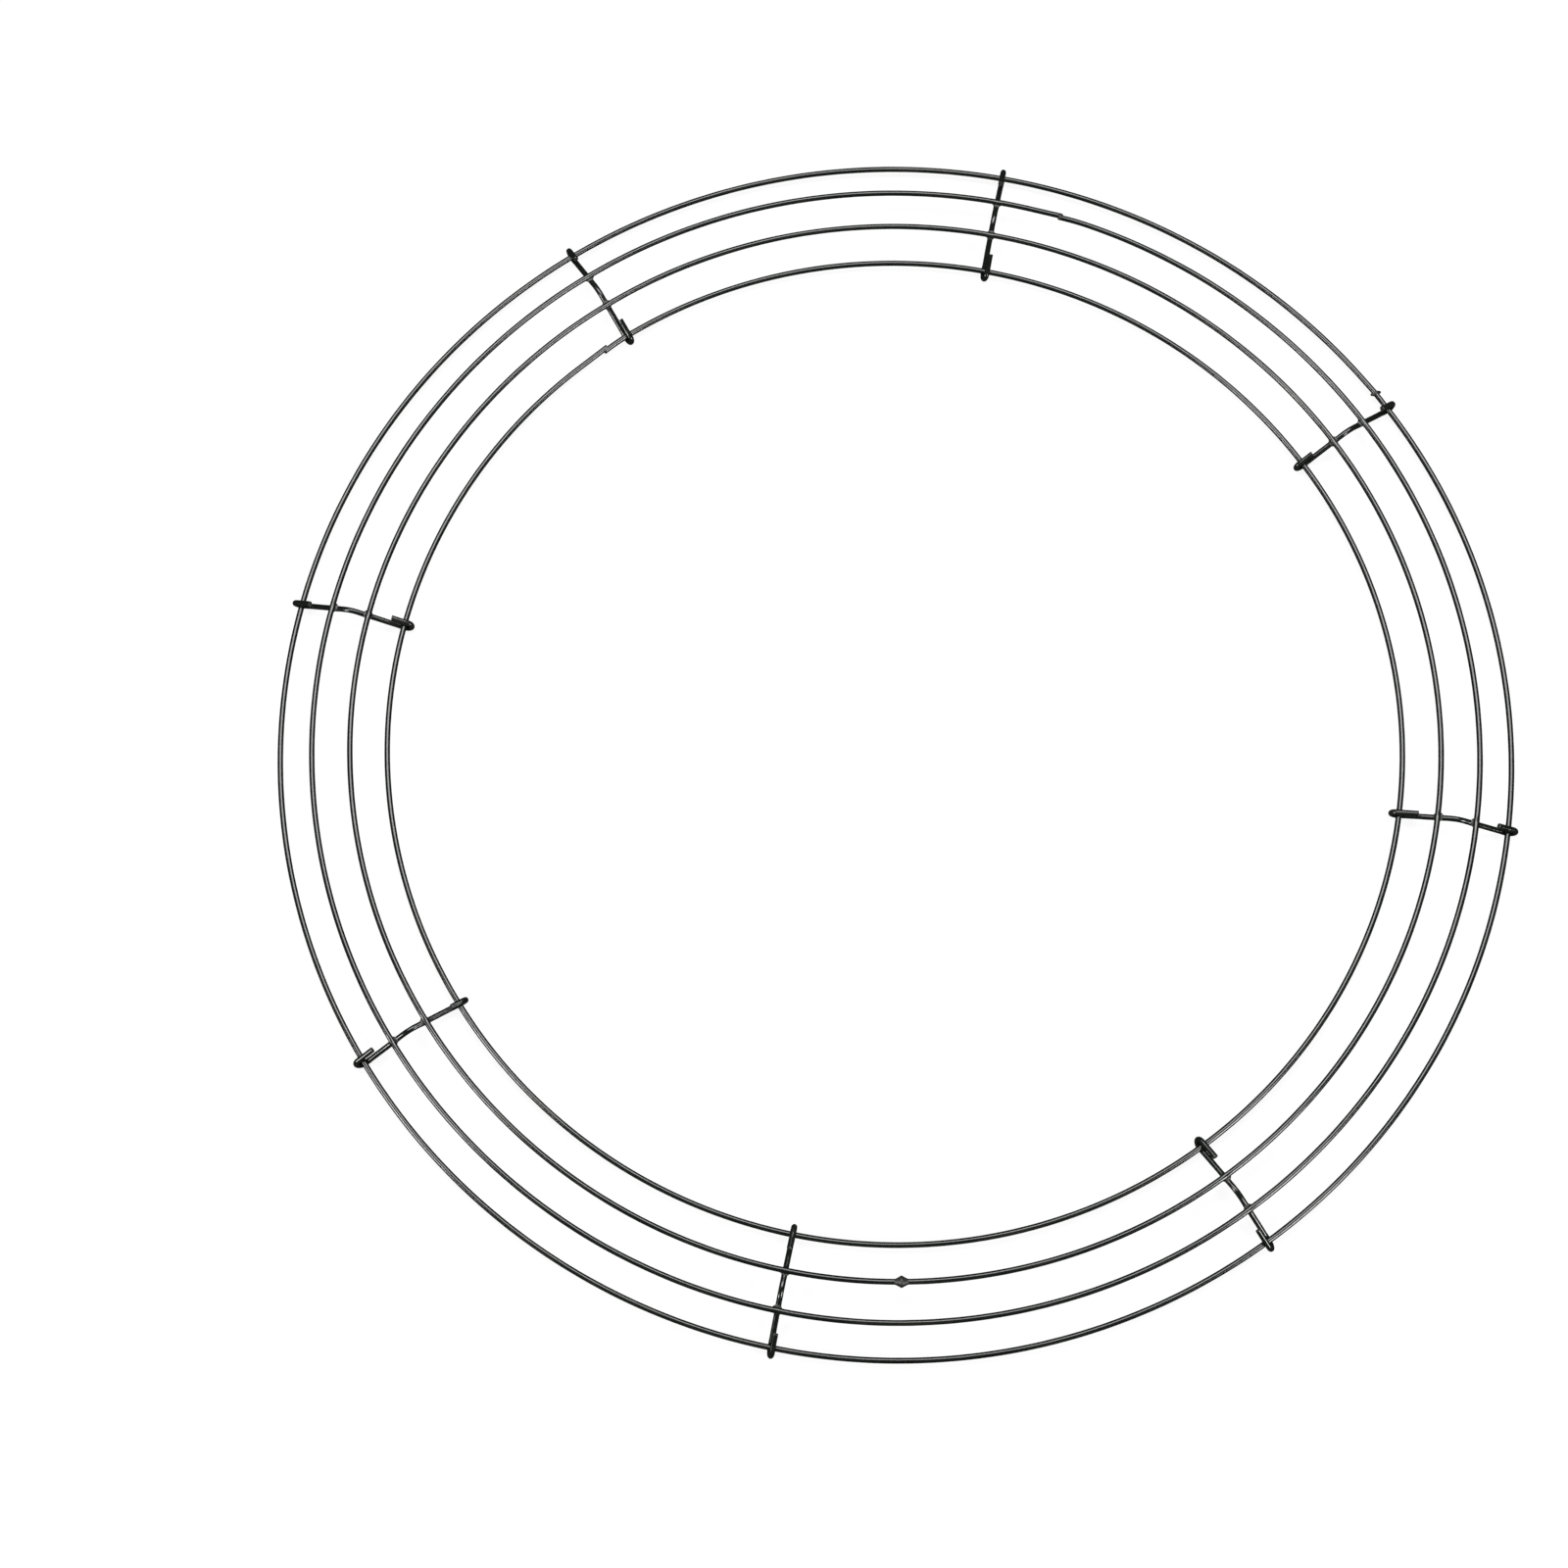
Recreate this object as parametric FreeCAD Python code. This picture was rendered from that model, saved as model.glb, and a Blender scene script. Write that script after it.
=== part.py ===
import FreeCAD, Part
import math
import os

# A raised wire wreath frame for floristry: four concentric round rings of one
# wire size, carried on eight crossbars of the same wire. Each crossbar runs
# under all four rings, rises to a soft ridge between the two middle rings and
# is bent back over the outer and the inner ring as a closed hook. The two
# middle rings are spot welded to the crossbars. Every ring is one length of
# wire whose ends meet in a closure weld.
#
# Frame: millimetres, +Z up. The origin is at the rings' common centre, level
# with the underside of the hooks that the frame rests on.

# Wire
wire_diameter = 2.3
wire_radius = wire_diameter / 2.0

# Rings, as diameters of the wire's centre line
outer_ring_diameter = 500.0
second_ring_diameter = 472.0
third_ring_diameter = 441.0
inner_ring_diameter = 412.5

# Crossbars
crossbar_count = 8
first_crossbar_angle = 22.5
crossbar_pitch = 23.0
ridge_bend_radius = 8.0
# How far each bar stands from even spacing, in degrees, counter-clockwise.
crossbar_drift = (0.0, 0.0, -1.0, -1.5, -1.0, 0.0, 1.5, 1.5)

# Hooks: reach past the ring's centre line to the end of the bend, and length
# of the return leg from the ring's centre line back to its cut end.
hook_reach = 4.3
hook_return = 6.2
# Sideways offset of each return leg from its own bar, counter-clockwise.
outer_hook_offset = (0.5, 0.0, 0.0, 0.5, -1.5, 1.0, -2.0, 0.5)
inner_hook_offset = (0.5, -1.5, -1.0, -1.0, 0.5, 0.0, 1.5, 0.0)
# How much longer each cut end runs back than hook_return, in mm
outer_return_extra = (-1.5, 0.0, -1.5, -0.5, 1.0, 0.5, 1.0, 0.0)
inner_return_extra = (-0.5, 1.0, 1.0, 0.0, -2.0, 1.0, 1.5, 2.0)

# Fits: how deep a hook's two legs bite on the ring they grip, and how far a
# middle ring is sunk into the crossbar it is welded to.
crimp_bite = 0.08
weld_sink = 0.35
# Block that takes in every touching place of one hook or weld
contact_block = 10.0

# Spot weld bead between a middle ring and a crossbar
bead_radius = 2.0
bead_half_height = 0.6
# Turn of each bead about its own axis, in degrees, so that the seam line of its
# surface lies clear of both wires
bead_seam_turn = 35.0

# Closure welds: polar angle of each, and the wire left open inside it
outer_closure_angle = 24.4
second_closure_angle = 60.8
third_closure_angle = 259.2
inner_closure_angle = 114.4
closure_gap = 0.4

# Outer closure: a butt weld with a slight corner and two ears of flash
outer_closure_corner = 4.0
flash_core_radius = 1.35
ear_length = 2.35
ear_root_radius = 1.1
ear_tip_radius = 0.45
ear_tilt = 18.0

# Second closure: a butt weld with the wire ends a step apart, in a round bead
second_closure_step = 0.7
closure_bead_radius = 1.6

# Third closure: an upset weld, thick in the middle and tapered both ways
upset_radius = 2.4
upset_end_radius = 0.8
upset_half_length = 3.2

# Inner closure: the wire ends lap side by side and are melted together
inner_closure_step = 0.9
lap_length = 2.4
lap_end_clearance = 0.15

# Derived sizes
outer_ring_radius = outer_ring_diameter / 2.0
second_ring_radius = second_ring_diameter / 2.0
third_ring_radius = third_ring_diameter / 2.0
inner_ring_radius = inner_ring_diameter / 2.0
ridge_radius = (outer_ring_radius + inner_ring_radius) / 2.0
pitch = math.radians(crossbar_pitch)
crimp_height = wire_diameter - crimp_bite
weld_height = wire_diameter - weld_sink
hook_bend_radius = crimp_height
ridge_tangent = ridge_bend_radius * math.tan(pitch)

UP = FreeCAD.Vector(0, 0, 1)


def radial(angle):
    """Unit vector pointing outward at a polar angle in radians."""
    return FreeCAD.Vector(math.cos(angle), math.sin(angle), 0)


def tangent(angle):
    """Unit vector along a ring, counter-clockwise, at a polar angle in radians."""
    return FreeCAD.Vector(-math.sin(angle), math.cos(angle), 0)


def straight(point, heading, length):
    """A straight run of wire: its edge, end point and end heading."""
    end = point + heading * length
    return Part.makeLine(point, end), end, heading


def bend(point, heading, toward, radius, angle):
    """A bend that turns the heading by angle to one side: edge, end point, heading."""
    centre = point + toward * radius

    def on_arc(turned):
        return centre + heading * (radius * math.sin(turned)) - toward * (radius * math.cos(turned))

    edge = Part.Arc(point, on_arc(angle / 2.0), on_arc(angle)).toShape()
    return edge, on_arc(angle), heading * math.cos(angle) + toward * math.sin(angle)


def round_wire(edges, start, heading):
    """Round wire swept along joined edges, with square-cut ends."""
    profile = Part.Face(Part.Wire([Part.makeCircle(wire_radius, start, heading)]))
    return Part.Wire(edges).makePipe(profile)


def leg_run(ring_radius, seat_height):
    """Level distance from the ridge to the point of the leg under a ring."""
    return abs(ring_radius - ridge_radius) - seat_height * math.sin(pitch)


# Height of the sharp corner the two legs of a crossbar would meet in
leg_end_height = wire_radius + hook_bend_radius * (1.0 - math.cos(pitch))
leg_to_ring = leg_run(outer_ring_radius, crimp_height) / math.cos(pitch)
leg_past_ring = hook_reach - wire_radius - hook_bend_radius
ridge_height = leg_end_height + (leg_to_ring + leg_past_ring) * math.sin(pitch)


def ring_height(ring_radius, seat_height):
    """Height of a ring's centre line when it is seated on the sloping legs."""
    return ridge_height - leg_run(ring_radius, seat_height) * math.tan(pitch) + seat_height * math.cos(pitch)


outer_ring_height = ring_height(outer_ring_radius, crimp_height)
second_ring_height = ring_height(second_ring_radius, weld_height)
third_ring_height = ring_height(third_ring_radius, weld_height)
inner_ring_height = ring_height(inner_ring_radius, crimp_height)


def ring_wire(radius, height, closure_angle, lead_lean, trail_lean, trail_tight, gap):
    """One ring, open by gap on each side of its closure.

    The last stretch of wire on each side leaves the circle: it runs straight
    over lean radians, so that it ends outside the circle, or, on the trailing
    side with trail_tight, curves twice as hard and ends inside it. Returns the
    solid and the end point and outward heading of both cut ends.
    """
    closure = math.radians(closure_angle)
    centre = UP * height
    lead_start = centre + radial(closure + lead_lean) * radius
    lead_heading = tangent(closure + lead_lean)
    edges = []
    if lead_lean > 0:
        start = lead_start - lead_heading * (radius * math.tan(lead_lean) - gap)
        edges.append(Part.makeLine(start, lead_start))
        sweep = 2.0 * math.pi - lead_lean - trail_lean
        point = lead_start
        heading = lead_heading
    else:
        sweep = 2.0 * math.pi - 2.0 * gap / radius
        point = centre + radial(closure + gap / radius) * radius
        heading = tangent(closure + gap / radius)
        start = point
    first_heading = heading
    edge, point, heading = bend(point, heading, (centre - point).normalize(), radius, sweep)
    edges.append(edge)
    if trail_lean > 0 and trail_tight:
        tight_radius = radius / 2.0
        inward = (centre - point).normalize()
        last_bend = 2.0 * trail_lean - gap / tight_radius
        edge, point, heading = bend(point, heading, inward, tight_radius, last_bend)
        edges.append(edge)
    elif trail_lean > 0:
        edge, point, heading = straight(point, heading, radius * math.tan(trail_lean) - gap)
        edges.append(edge)
    return round_wire(edges, start, first_heading), (start, first_heading * -1), (point, heading)


def outer_closure():
    """Butt weld of the outer ring: a round core with two tapered ears of flash."""
    angle = math.radians(outer_closure_angle)
    lean = math.radians(outer_closure_corner) / 2.0
    centre = UP * outer_ring_height + radial(angle) * (outer_ring_radius / math.cos(lean))
    tilt = math.radians(ear_tilt)
    out = radial(angle) * math.cos(tilt) - tangent(angle) * math.sin(tilt)
    weld = Part.makeSphere(flash_core_radius, centre)
    for direction in (out, out * -1):
        weld = weld.fuse(Part.makeCone(ear_root_radius, ear_tip_radius, ear_length, centre, direction))
    return weld


def second_closure():
    """Butt weld of the second ring: a round bead around the stepped ends."""
    angle = math.radians(second_closure_angle)
    return Part.makeSphere(closure_bead_radius, UP * second_ring_height + radial(angle) * second_ring_radius)


def third_closure():
    """Upset weld of the third ring: two cones meeting at a ridge."""
    angle = math.radians(third_closure_angle)
    centre = UP * third_ring_height + radial(angle) * third_ring_radius
    halves = [
        Part.makeCone(upset_radius, upset_end_radius, upset_half_length, centre, tangent(angle) * side)
        for side in (1, -1)
    ]
    return halves[0].fuse(halves[1]).removeSplitter()


def lap_closure(ends):
    """Lap weld of the inner ring: both wire ends run on past each other."""
    stubs = [
        Part.makeCylinder(wire_radius, lap_length - lap_end_clearance, point, heading)
        for point, heading in ends
    ]
    return stubs[0].fuse(stubs[1])


def crossbar_angle(index):
    """Polar angle of a crossbar in radians."""
    return math.radians(first_crossbar_angle + index * 360.0 / crossbar_count + crossbar_drift[index])


def crossbar_wire(index):
    """One crossbar: return leg, hook, leg, ridge, leg, hook, return leg."""
    angle = crossbar_angle(index)
    outward = radial(angle)
    sideways = tangent(angle)
    outer_leg = outward * math.cos(pitch) - UP * math.sin(pitch)
    outer_normal = outward * math.sin(pitch) + UP * math.cos(pitch)
    inner_leg = outward * -math.cos(pitch) - UP * math.sin(pitch)
    inner_normal = outward * -math.sin(pitch) + UP * math.cos(pitch)
    ridge = outward * ridge_radius + UP * ridge_height

    def hook(normal, offset):
        """Side the hook turns to, its bend radius and the leg's run past the ring."""
        lean = math.atan2(offset, 2.0 * hook_bend_radius)
        turn = normal * math.cos(lean) + sideways * math.sin(lean)
        radius = hook_bend_radius / math.cos(lean)
        return turn, radius, hook_reach - wire_radius - radius

    outer_turn, outer_radius, outer_past = hook(outer_normal, outer_hook_offset[index])
    inner_turn, inner_radius, inner_past = hook(inner_normal, inner_hook_offset[index])
    outer_return = hook_return + outer_return_extra[index]
    inner_return = hook_return + inner_return_extra[index]
    leg_length = leg_to_ring - ridge_tangent

    outer_end = ridge + outer_leg * (leg_to_ring + outer_past)
    start = outer_end + outer_turn * (2.0 * outer_radius) - outer_leg * (outer_past + outer_return)
    edges = []
    point = start
    heading = outer_leg
    edge, point, heading = straight(point, heading, outer_past + outer_return)
    edges.append(edge)
    edge, point, heading = bend(point, heading, outer_turn * -1, outer_radius, math.pi)
    edges.append(edge)
    edge, point, heading = straight(point, outer_leg * -1, leg_length + outer_past)
    edges.append(edge)
    edge, point, heading = bend(point, heading, outer_normal * -1, ridge_bend_radius, 2.0 * pitch)
    edges.append(edge)
    edge, point, heading = straight(point, inner_leg, leg_length + inner_past)
    edges.append(edge)
    edge, point, heading = bend(point, heading, inner_turn, inner_radius, math.pi)
    edges.append(edge)
    edge, point, heading = straight(point, inner_leg * -1, inner_past + inner_return)
    edges.append(edge)
    return round_wire(edges, start, outer_leg)


def cut_out(shape, tool, contact):
    """Takes the metal of tool out of shape, where the two meet at contact.

    The bite of one round wire on another is so shallow that one side of it can
    get lost. So the cut is made twice, with the whole tool and with only the
    stretch of it round the contact, and the sound result that has lost the most
    metal is kept. A result with no metal left is never sound.
    """
    block = Part.makeBox(contact_block, contact_block, contact_block)
    block.translate(contact - FreeCAD.Vector(contact_block, contact_block, contact_block) / 2.0)
    results = [shape.cut(tool), shape.cut(tool.common(block))]
    sound = [result for result in results if result.isValid() and result.Solids]
    return min(sound or results, key=lambda result: result.Volume)


def contact_point(index, ring_radius, height):
    """Where a crossbar passes a ring, on the ring's centre line."""
    return radial(crossbar_angle(index)) * ring_radius + UP * height


def spot_weld(index, ring_radius, height, ring, crossbar):
    """Bead squeezed out around the contact of a middle ring and a crossbar."""
    angle = crossbar_angle(index)
    side = 1 if ring_radius > ridge_radius else -1
    normal = radial(angle) * (side * math.sin(pitch)) + UP * math.cos(pitch)
    centre = UP * height + radial(angle) * ring_radius - normal * (weld_height / 2.0)
    ellipse = Part.Ellipse(FreeCAD.Vector(0, 0, 0), bead_radius, bead_half_height)
    half = Part.ArcOfEllipse(ellipse, -math.pi / 2.0, math.pi / 2.0).toShape()
    axis = Part.makeLine(FreeCAD.Vector(0, bead_half_height, 0), FreeCAD.Vector(0, -bead_half_height, 0))
    lens = Part.Face(Part.Wire([half, axis])).revolve(
        FreeCAD.Vector(0, 0, 0), FreeCAD.Vector(0, 1, 0), 360.0
    )
    spin = FreeCAD.Rotation(FreeCAD.Vector(0, 1, 0), bead_seam_turn)
    turn = FreeCAD.Rotation(FreeCAD.Vector(0, 1, 0), normal)
    lens.Placement = FreeCAD.Placement(centre, turn.multiply(spin))
    return cut_out(cut_out(lens, ring, centre), crossbar, centre)


def only_solid(shape):
    """The single solid of a boolean result."""
    return shape.Solids[0]


outer_lean = math.radians(outer_closure_corner) / 2.0
second_lean = math.sqrt(second_closure_step / second_ring_radius)
inner_lean = math.sqrt(inner_closure_step / inner_ring_radius)

outer_ring, _, _ = ring_wire(
    outer_ring_radius, outer_ring_height, outer_closure_angle, outer_lean, outer_lean, False, closure_gap
)
second_ring, _, _ = ring_wire(
    second_ring_radius, second_ring_height, second_closure_angle, second_lean, second_lean, True, closure_gap
)
third_ring, _, _ = ring_wire(
    third_ring_radius, third_ring_height, third_closure_angle, 0.0, 0.0, False, closure_gap
)
inner_ring, lead_end, trail_end = ring_wire(
    inner_ring_radius, inner_ring_height, inner_closure_angle, inner_lean, inner_lean, True, lap_length / 2.0
)

closures = {
    "outer_ring_closure_weld": outer_closure(),
    "second_ring_closure_weld": second_closure(),
    "third_ring_closure_weld": third_closure(),
    "inner_ring_closure_weld": lap_closure((lead_end, trail_end)),
}
rings = {
    "outer_ring": only_solid(outer_ring.cut(closures["outer_ring_closure_weld"])),
    "second_ring": only_solid(second_ring.cut(closures["second_ring_closure_weld"])),
    "third_ring": only_solid(third_ring.cut(closures["third_ring_closure_weld"])),
    "inner_ring": inner_ring,
}

ring_places = {
    "outer_ring": (outer_ring_radius, outer_ring_height),
    "second_ring": (second_ring_radius, second_ring_height),
    "third_ring": (third_ring_radius, third_ring_height),
    "inner_ring": (inner_ring_radius, inner_ring_height),
}
crossbars = {}
beads = {"second_ring": [], "third_ring": []}
for bar_index in range(crossbar_count):
    bar = crossbar_wire(bar_index)
    for ring_name, ring_shape in rings.items():
        contact = contact_point(bar_index, *ring_places[ring_name])
        bar = cut_out(bar, ring_shape, contact)
    bar = only_solid(bar)
    crossbars["crossbar_%d" % (bar_index + 1)] = bar
    for ring_name, ring_beads in beads.items():
        ring_radius, ring_height = ring_places[ring_name]
        bead = spot_weld(bar_index, ring_radius, ring_height, rings[ring_name], bar)
        ring_beads.extend(bead.Solids)

nodes = dict(rings)
nodes.update(closures)
nodes.update(crossbars)
for ring_name, ring_beads in beads.items():
    nodes["%s_spot_welds" % ring_name] = Part.makeCompound(ring_beads)

os.makedirs("parts", exist_ok=True)
for name, shape in nodes.items():
    shape.exportStep("parts/%s.step" % name)
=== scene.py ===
import math

import bpy
import numpy as np
from mathutils import Matrix, Vector


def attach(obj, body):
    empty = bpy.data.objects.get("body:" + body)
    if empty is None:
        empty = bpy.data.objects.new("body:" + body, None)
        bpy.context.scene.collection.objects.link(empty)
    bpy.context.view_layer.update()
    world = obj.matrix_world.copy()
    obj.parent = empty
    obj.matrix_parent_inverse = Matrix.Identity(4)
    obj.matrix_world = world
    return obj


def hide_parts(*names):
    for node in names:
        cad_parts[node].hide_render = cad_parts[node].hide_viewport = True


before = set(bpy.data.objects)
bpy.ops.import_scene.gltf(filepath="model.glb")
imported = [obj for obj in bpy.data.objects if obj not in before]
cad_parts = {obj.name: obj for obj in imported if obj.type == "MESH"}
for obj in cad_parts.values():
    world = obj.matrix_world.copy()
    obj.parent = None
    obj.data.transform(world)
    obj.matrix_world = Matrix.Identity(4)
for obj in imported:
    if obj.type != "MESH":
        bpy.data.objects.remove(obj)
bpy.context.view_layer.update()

MM = 0.001
FULL_TURN = 2.0 * math.pi

# ---------------------------------------------------------------------------
# The wreath frame's sizes in millimetres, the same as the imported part's
# ---------------------------------------------------------------------------
WIRE_RADIUS = 1.15
RING_RADIUS = {"outer": 250.0, "second": 236.0, "third": 220.5, "inner": 206.25}
BAR_COUNT = 8
FIRST_BAR_ANGLE = 22.5
BAR_PITCH = math.radians(23.0)
RIDGE_BEND_RADIUS = 8.0
HOOK_REACH = 4.3
HOOK_RETURN = 6.2
# Distance between the centre lines of a ring and of the leg that it sits on
CRIMP_HEIGHT = 2.22
WELD_HEIGHT = 1.95
# Each crossbar's drift round the ring in degrees, and its hooks' own offsets
BAR_DRIFT = (0.0, 0.0, -1.0, -1.5, -1.0, 0.0, 1.5, 1.5)
OUTER_HOOK_OFFSET = (0.5, 0.0, 0.0, 0.5, -1.5, 1.0, -2.0, 0.5)
INNER_HOOK_OFFSET = (0.5, -1.5, -1.0, -1.0, 0.5, 0.0, 1.5, 0.0)
OUTER_RETURN_EXTRA = (-1.5, 0.0, -1.5, -0.5, 1.0, 0.5, 1.0, 0.0)
INNER_RETURN_EXTRA = (-0.5, 1.0, 1.0, 0.0, -2.0, 1.0, 1.5, 2.0)
BAR_ANGLE = [
    math.radians(FIRST_BAR_ANGLE + 360.0 / BAR_COUNT * bar + BAR_DRIFT[bar]) for bar in range(BAR_COUNT)
]
RIDGE_RADIUS = (RING_RADIUS["outer"] + RING_RADIUS["inner"]) / 2.0
CLOSURE_ANGLE = {
    "outer": math.radians(24.4),
    "second": math.radians(60.8),
    "third": math.radians(259.2),
    "inner": math.radians(114.4),
}


def leg_run(ring_radius, seat):
    """Level distance from the ridge to the point of a leg under a ring."""
    return abs(ring_radius - RIDGE_RADIUS) - seat * math.sin(BAR_PITCH)


LEG_END_HEIGHT = WIRE_RADIUS + CRIMP_HEIGHT * (1.0 - math.cos(BAR_PITCH))
LEG_TO_RING = leg_run(RING_RADIUS["outer"], CRIMP_HEIGHT) / math.cos(BAR_PITCH)
LEG_PAST_RING = HOOK_REACH - WIRE_RADIUS - CRIMP_HEIGHT
RIDGE_HEIGHT = LEG_END_HEIGHT + (LEG_TO_RING + LEG_PAST_RING) * math.sin(BAR_PITCH)


def ring_height(ring_radius, seat):
    """Height of a ring's centre line when it is seated on the sloping legs."""
    fall = leg_run(ring_radius, seat) * math.tan(BAR_PITCH)
    return RIDGE_HEIGHT - fall + seat * math.cos(BAR_PITCH)


RING_HEIGHT = {
    "outer": ring_height(RING_RADIUS["outer"], CRIMP_HEIGHT),
    "second": ring_height(RING_RADIUS["second"], WELD_HEIGHT),
    "third": ring_height(RING_RADIUS["third"], WELD_HEIGHT),
    "inner": ring_height(RING_RADIUS["inner"], CRIMP_HEIGHT),
}

# ---------------------------------------------------------------------------
# How finely the surfaces are divided, in millimetres along and faces round
# ---------------------------------------------------------------------------
RING_STEP = 0.75
RING_FACES_ROUND = 24
LEG_STEP = 0.25
HOOK_STEP = 0.2
BAR_FACES_ROUND = 28
BLOB_ROWS = 25
BLOB_FACES_ROUND = 40

# ---------------------------------------------------------------------------
# Small unevenness of the wires, in millimetres
# ---------------------------------------------------------------------------
# A ripple is a sum of waves, each this share of the stated wavelength long
RIPPLE_WAVES = 8
RIPPLE_SHARES = (0.6, 2.2)
RIPPLE_MOST_TURNS = 3
# Slow and quick swell of the enamel film, as (height, wavelength) pairs, and how
# far its mean is sunk, so that the coated wire keeps to the wire's own size
RING_FILM = ((0.016, 46.0), (0.010, 7.0))
BAR_FILM = ((0.014, 19.0), (0.010, 5.0))
FILM_SINK = 0.012
# Enamel that pools under a ring at each crossbar, as (depth, half width)
POOL = (0.07, 2.6)
# A welding electrode dents the top of a ring and presses its sides out
DENT_HALF_WIDTH = 1.7
DENT_DEPTH = 0.13
DENT_SPREAD = 0.05
# Bending thins a wire across the bend's plane and widens it the other way
BEND_THINNING = 0.05
BEND_WIDENING = 0.02
HOOK_SHARE = 1.0
RIDGE_SHARE = 0.3
# Enamel that gathers on a crossbar beside a ring: depth, distance, half width
GATHER = (0.06, 2.1, 0.7)
# A cut end: four shrinking circles from the wire to the middle, as steps outward,
# shares of the radius and bareness of the steel, and the slant of the cut
CUT_OUT = np.array([0.05, 0.09, 0.10, 0.10])
CUT_SHARE = np.array([0.985, 0.93, 0.70, 0.35])
CUT_BARE = np.array([0.6, 1.0, 1.0, 1.0])
CUT_SLANT = 0.10


# ---------------------------------------------------------------------------
# Vectors and smooth seeded unevenness
# ---------------------------------------------------------------------------
UP = np.array([0.0, 0.0, 1.0])


def radial(angle):
    """Unit vector pointing outward at a polar angle."""
    return np.array([math.cos(angle), math.sin(angle), 0.0])


def around(angle):
    """Unit vector along a ring, counter-clockwise."""
    return np.array([-math.sin(angle), math.cos(angle), 0.0])


def steps_round(count):
    """Angles of count even steps round a circle."""
    return np.arange(count) * FULL_TURN / count


def ripple(along, turn, seed, wavelength):
    """Smooth unevenness between about -1 and 1.

    A sum of sine waves, each with its own seeded wavelength along the wire and
    a whole number of turns round it.
    """
    rng = np.random.default_rng(seed)
    total = np.zeros(np.broadcast(along, turn).shape)
    for _ in range(RIPPLE_WAVES):
        pace = FULL_TURN / (wavelength * rng.uniform(*RIPPLE_SHARES))
        turns = rng.integers(0, RIPPLE_MOST_TURNS + 1)
        total = total + np.sin(along * pace + turn * turns + rng.uniform(0.0, FULL_TURN))
    return total / (RIPPLE_WAVES / 2.0)


def coated_radii(along, turn, film, seeds):
    """Radius of a coated wire: its own radius, plus a slow and a quick ripple of
    the film, less the film's sink."""
    radii = WIRE_RADIUS - FILM_SINK
    for (height, wavelength), seed in zip(film, seeds):
        radii = radii + height * ripple(along[:, None], turn[None, :], seed, wavelength)
    return radii


# ---------------------------------------------------------------------------
# Meshes
# ---------------------------------------------------------------------------
def mesh_piece(name, points, quads, fans, quad_uv=None, cut=None):
    """Makes one closed smooth mesh from points in millimetres, quads and end fans."""
    mesh = bpy.data.meshes.new(name)
    faces = [tuple(face) for face in quads.tolist()] + [tuple(face) for face in fans.tolist()]
    mesh.from_pydata((points * MM).tolist(), [], faces)
    mesh.polygons.foreach_set("use_smooth", np.ones(len(faces), bool))
    if quad_uv is not None:
        layer = mesh.uv_layers.new(name="wire")
        flat = np.zeros((len(mesh.loops), 2))
        flat[: quad_uv.shape[0]] = quad_uv * MM
        layer.data.foreach_set("uv", flat.ravel())
    if cut is not None:
        attribute = mesh.attributes.new("cut_face", "FLOAT", "POINT")
        attribute.data.foreach_set("value", cut.astype(np.float32))
    mesh.validate()
    mesh.update()
    piece = bpy.data.objects.new(name, mesh)
    bpy.context.scene.collection.objects.link(piece)
    return piece


def grid_faces(rows, columns):
    """Quads of a grid that is closed round its columns."""
    row, column = np.meshgrid(np.arange(rows - 1), np.arange(columns), indexing="ij")
    here, beyond = row * columns, (row + 1) * columns
    following = (column + 1) % columns
    corners = [here + column, here + following, beyond + following, beyond + column]
    return np.stack(corners, axis=-1).reshape(-1, 4)


def end_fans(rows, columns):
    """Triangles from a grid's first and last row to the two points after it."""
    step = np.arange(columns)
    following = (step + 1) % columns
    last = (rows - 1) * columns
    tip = np.full(columns, rows * columns)
    first_fan = np.stack([tip, following, step], axis=1)
    last_fan = np.stack([tip + 1, last + step, last + following], axis=1)
    return np.concatenate([first_fan, last_fan])


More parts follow.
